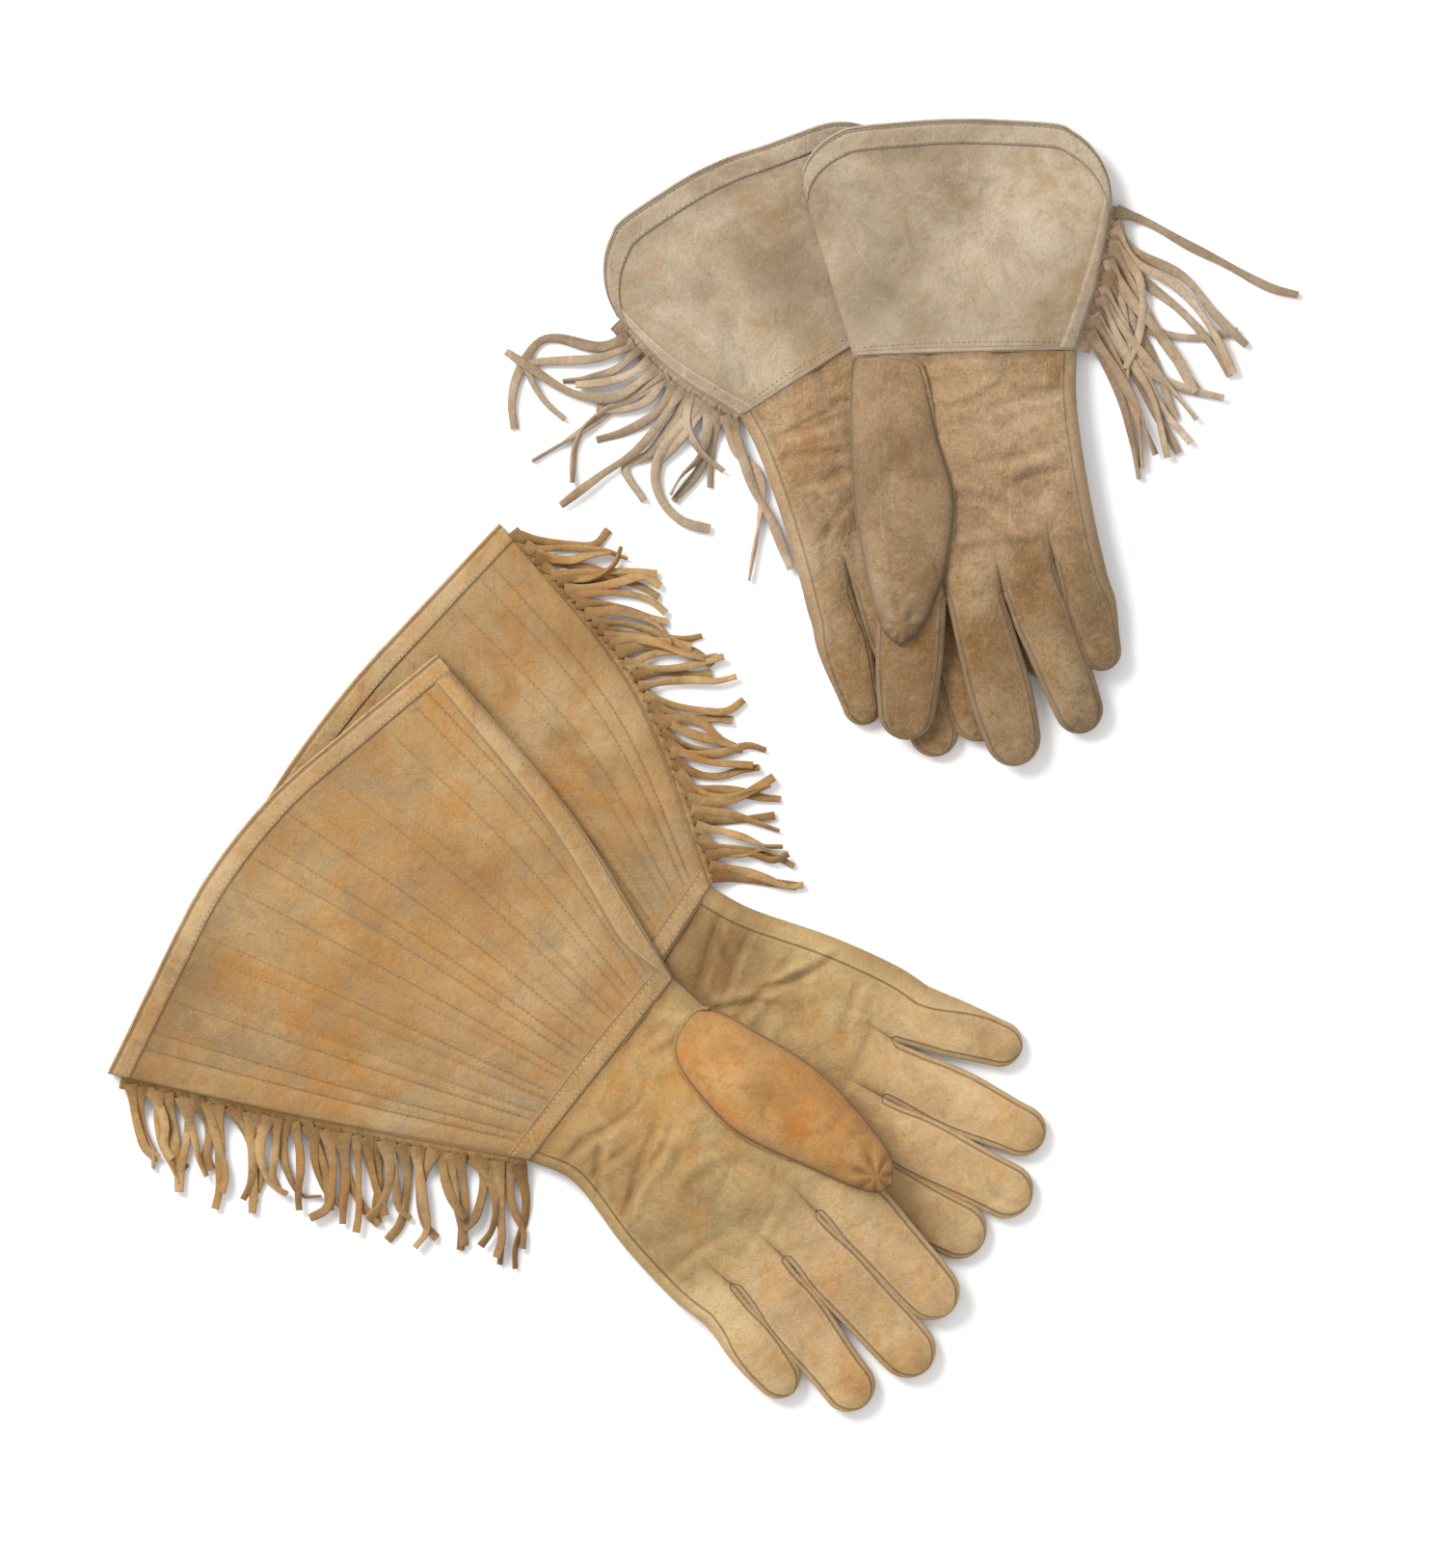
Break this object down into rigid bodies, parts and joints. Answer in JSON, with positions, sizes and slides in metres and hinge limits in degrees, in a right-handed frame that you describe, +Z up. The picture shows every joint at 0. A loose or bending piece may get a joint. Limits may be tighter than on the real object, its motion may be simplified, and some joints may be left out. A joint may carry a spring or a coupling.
{
  "type": "riding gloves",
  "caption": "Fringed leather gauntlet riding gloves in a long-cuffed and a short-cuffed style, laid palm up, each left and right glove lying across its mate.",
  "frame": {"origin": "middle of the whole layout's box, on the surface that the gloves lie on", "axes": "+Z up from the table, +Y towards the short-cuffed pair's cuffs, +X towards the side that their long fringe points to"},
  "size_m": [0.538, 0.5888, 0.0389],
  "materials": {
    "long_hand_leather": "matte",
    "long_cuff_leather": "matte",
    "long_trim_leather": "matte",
    "short_hand_leather": "matte",
    "short_cuff_leather": "matte",
    "short_trim_leather": "matte",
    "lining": "matte",
    "thread": "matte"
  },
  "bodies": {
    "long_right_hand": {"long_right_palm": "long_hand_leather", "long_right_back": "long_hand_leather", "long_right_hand_sides": "long_hand_leather"},
    "long_right_cuff": {"long_right_cuff_front": "long_cuff_leather", "long_right_cuff_back": "long_cuff_leather", "long_right_cuff_sides": "long_cuff_leather", "long_right_cuff_lining": "lining", "long_right_cuff_trim": "long_trim_leather", "long_right_fringe": "long_trim_leather", "long_right_stitching": "thread"},
    "long_right_thumb_stall": {"long_right_thumb": "long_hand_leather"},
    "long_right_pinky_stall": {"long_right_pinky": "long_hand_leather"},
    "long_right_ring_stall": {"long_right_ring": "long_hand_leather"},
    "long_right_middle_stall": {"long_right_middle": "long_hand_leather"},
    "long_right_index_stall": {"long_right_index": "long_hand_leather"},
    "long_left_hand": {"long_left_palm": "long_hand_leather", "long_left_back": "long_hand_leather", "long_left_hand_sides": "long_hand_leather"},
    "long_left_cuff": {"long_left_cuff_front": "long_cuff_leather", "long_left_cuff_back": "long_cuff_leather", "long_left_cuff_sides": "long_cuff_leather", "long_left_cuff_lining": "lining", "long_left_cuff_trim": "long_trim_leather", "long_left_fringe": "long_trim_leather", "long_left_stitching": "thread"},
    "long_left_thumb_stall": {"long_left_thumb": "long_hand_leather"},
    "long_left_pinky_stall": {"long_left_pinky": "long_hand_leather"},
    "long_left_ring_stall": {"long_left_ring": "long_hand_leather"},
    "long_left_middle_stall": {"long_left_middle": "long_hand_leather"},
    "long_left_index_stall": {"long_left_index": "long_hand_leather"},
    "short_left_hand": {"short_left_palm": "short_hand_leather", "short_left_back": "short_hand_leather", "short_left_hand_sides": "short_hand_leather"},
    "short_left_cuff": {"short_left_cuff_front": "short_cuff_leather", "short_left_cuff_back": "short_cuff_leather", "short_left_cuff_sides": "short_cuff_leather", "short_left_cuff_lining": "lining", "short_left_cuff_trim": "short_trim_leather", "short_left_fringe": "short_trim_leather", "short_left_stitching": "thread"},
    "short_left_thumb_stall": {"short_left_thumb": "short_hand_leather"},
    "short_left_pinky_stall": {"short_left_pinky": "short_hand_leather"},
    "short_left_ring_stall": {"short_left_ring": "short_hand_leather"},
    "short_left_middle_stall": {"short_left_middle": "short_hand_leather"},
    "short_left_index_stall": {"short_left_index": "short_hand_leather"},
    "short_right_hand": {"short_right_palm": "short_hand_leather", "short_right_back": "short_hand_leather", "short_right_hand_sides": "short_hand_leather"},
    "short_right_cuff": {"short_right_cuff_front": "short_cuff_leather", "short_right_cuff_back": "short_cuff_leather", "short_right_cuff_sides": "short_cuff_leather", "short_right_cuff_lining": "lining", "short_right_cuff_trim": "short_trim_leather", "short_right_fringe": "short_trim_leather", "short_right_stitching": "thread"},
    "short_right_thumb_stall": {"short_right_thumb": "short_hand_leather"},
    "short_right_pinky_stall": {"short_right_pinky": "short_hand_leather"},
    "short_right_ring_stall": {"short_right_ring": "short_hand_leather"},
    "short_right_middle_stall": {"short_right_middle": "short_hand_leather"},
    "short_right_index_stall": {"short_right_index": "short_hand_leather"}
  },
  "joints": [
    {"name": "long_left_lift_off", "type": "slide", "parent": "long_right_hand", "child": "long_left_hand", "axis": [0, 0, 1], "range_m": [0, 0.25]},
    {"name": "short_left_lift_off", "type": "slide", "parent": "long_right_hand", "child": "short_left_hand", "axis": [0, 0, 1], "range_m": [0, 0.25]},
    {"name": "short_right_lift_off", "type": "slide", "parent": "short_left_hand", "child": "short_right_hand", "axis": [0, 0, 1], "range_m": [0, 0.25]},
    {"name": "long_right_wrist", "type": "hinge", "parent": "long_right_hand", "child": "long_right_cuff", "pos_m": [-0.02495, -0.09954, 0], "axis": [0.5446, 0.8387, 0], "range_deg": [-40, 0]},
    {"name": "long_right_thumb_swing", "type": "hinge", "parent": "long_right_hand", "child": "long_right_thumb_stall", "pos_m": [-0.01661, -0.14844, 0.0103], "axis": [0, 0, 1], "range_deg": [0, 5]},
    {"name": "long_right_pinky_curl", "type": "hinge", "parent": "long_right_hand", "child": "long_right_pinky_stall", "pos_m": [0.09726, -0.11332, 0.01], "axis": [-0.3256, -0.9455, 0], "range_deg": [0, 75]},
    {"name": "long_right_ring_curl", "type": "hinge", "parent": "long_right_hand", "child": "long_right_ring_stall", "pos_m": [0.08758, -0.13924, 0.01], "axis": [-0.4226, -0.9063, 0], "range_deg": [0, 75]},
    {"name": "long_right_middle_bend", "type": "hinge", "parent": "long_right_hand", "child": "long_right_middle_stall", "pos_m": [0.07732, -0.16238, 0], "axis": [-0.454, -0.891, 0], "range_deg": [-30, 0]},
    {"name": "long_right_index_bend", "type": "hinge", "parent": "long_right_hand", "child": "long_right_index_stall", "pos_m": [0.07796, -0.19261, 0], "axis": [-0.4384, -0.8988, 0], "range_deg": [-30, 0]},
    {"name": "long_left_wrist", "type": "hinge", "parent": "long_left_hand", "child": "long_left_cuff", "pos_m": [-0.04565, -0.13854, 0.0316], "axis": [0.6198, 0.7848, 0], "range_deg": [0, 50]},
    {"name": "long_left_thumb_swing", "type": "hinge", "parent": "long_left_hand", "child": "long_left_thumb_stall", "pos_m": [-0.00752, -0.11768, 0.0289], "axis": [-0.606, -0.7955, 0], "range_deg": [0, 50]},
    {"name": "long_left_pinky_curl", "type": "hinge", "parent": "long_left_hand", "child": "long_left_pinky_stall", "pos_m": [0.00968, -0.24596, 0.0286], "axis": [-0.7912, -0.6115, 0], "range_deg": [0, 75]},
    {"name": "long_left_ring_curl", "type": "hinge", "parent": "long_left_hand", "child": "long_left_ring_stall", "pos_m": [0.02803, -0.23241, 0.0286], "axis": [-0.7912, -0.6115, 0], "range_deg": [0, 75]},
    {"name": "long_left_middle_curl", "type": "hinge", "parent": "long_left_hand", "child": "long_left_middle_stall", "pos_m": [0.04666, -0.21527, 0.0286], "axis": [-0.7349, -0.6782, 0], "range_deg": [0, 75]},
    {"name": "long_left_index_curl", "type": "hinge", "parent": "long_left_hand", "child": "long_left_index_stall", "pos_m": [0.0755, -0.20619, 0.0286], "axis": [-0.7581, -0.6521, 0], "range_deg": [0, 75]},
    {"name": "short_left_wrist", "type": "hinge", "parent": "short_left_hand", "child": "short_left_cuff", "pos_m": [0.06035, 0.18626, 0], "axis": [0.8471, 0.5314, 0], "range_deg": [-40, 0]},
    {"name": "short_left_thumb_swing", "type": "hinge", "parent": "short_left_hand", "child": "short_left_thumb_stall", "pos_m": [0.10021, 0.18425, 0.0103], "axis": [0, 0, -1], "range_deg": [0, 5]},
    {"name": "short_left_pinky_bend", "type": "hinge", "parent": "short_left_hand", "child": "short_left_pinky_stall", "pos_m": [0.05954, 0.07065, 0], "axis": [-0.9537, -0.3007, 0], "range_deg": [-30, 0]},
    {"name": "short_left_ring_bend", "type": "hinge", "parent": "short_left_hand", "child": "short_left_ring_stall", "pos_m": [0.08247, 0.07716, 0], "axis": [-0.9367, -0.3502, 0], "range_deg": [-30, 0]},
    {"name": "short_left_middle_bend", "type": "hinge", "parent": "short_left_hand", "child": "short_left_middle_stall", "pos_m": [0.10676, 0.08431, 0], "axis": [-0.9537, -0.3007, 0], "range_deg": [-30, 0]},
    {"name": "short_left_index_bend", "type": "hinge", "parent": "short_left_hand", "child": "short_left_index_stall", "pos_m": [0.14421, 0.0778, 0], "axis": [-0.887, -0.4617, 0], "range_deg": [-30, 0]},
    {"name": "short_right_wrist", "type": "hinge", "parent": "short_right_hand", "child": "short_right_cuff", "pos_m": [0.11955, 0.18776, 0.0316], "axis": [0.9996, 0.0297, 0], "range_deg": [0, 40]},
    {"name": "short_right_thumb_swing", "type": "hinge", "parent": "short_right_hand", "child": "short_right_thumb_stall", "pos_m": [0.08362, 0.18469, 0.0289], "axis": [-0.9999, -0.0122, 0], "range_deg": [0, 40]},
    {"name": "short_right_pinky_curl", "type": "hinge", "parent": "short_right_hand", "child": "short_right_pinky_stall", "pos_m": [0.17311, 0.0853, 0.0286], "axis": [-0.9673, -0.2538, 0], "range_deg": [0, 75]},
    {"name": "short_right_ring_curl", "type": "hinge", "parent": "short_right_hand", "child": "short_right_ring_stall", "pos_m": [0.14974, 0.08061, 0.0286], "axis": [-0.9291, -0.3697, 0], "range_deg": [0, 75]},
    {"name": "short_right_middle_curl", "type": "hinge", "parent": "short_right_hand", "child": "short_right_middle_stall", "pos_m": [0.12487, 0.07587, 0.0286], "axis": [-0.9673, -0.2538, 0], "range_deg": [0, 75]},
    {"name": "short_right_index_curl", "type": "hinge", "parent": "short_right_hand", "child": "short_right_index_stall", "pos_m": [0.09453, 0.05296, 0.0286], "axis": [-0.9983, 0.0576, 0], "range_deg": [0, 75]}
  ]
}
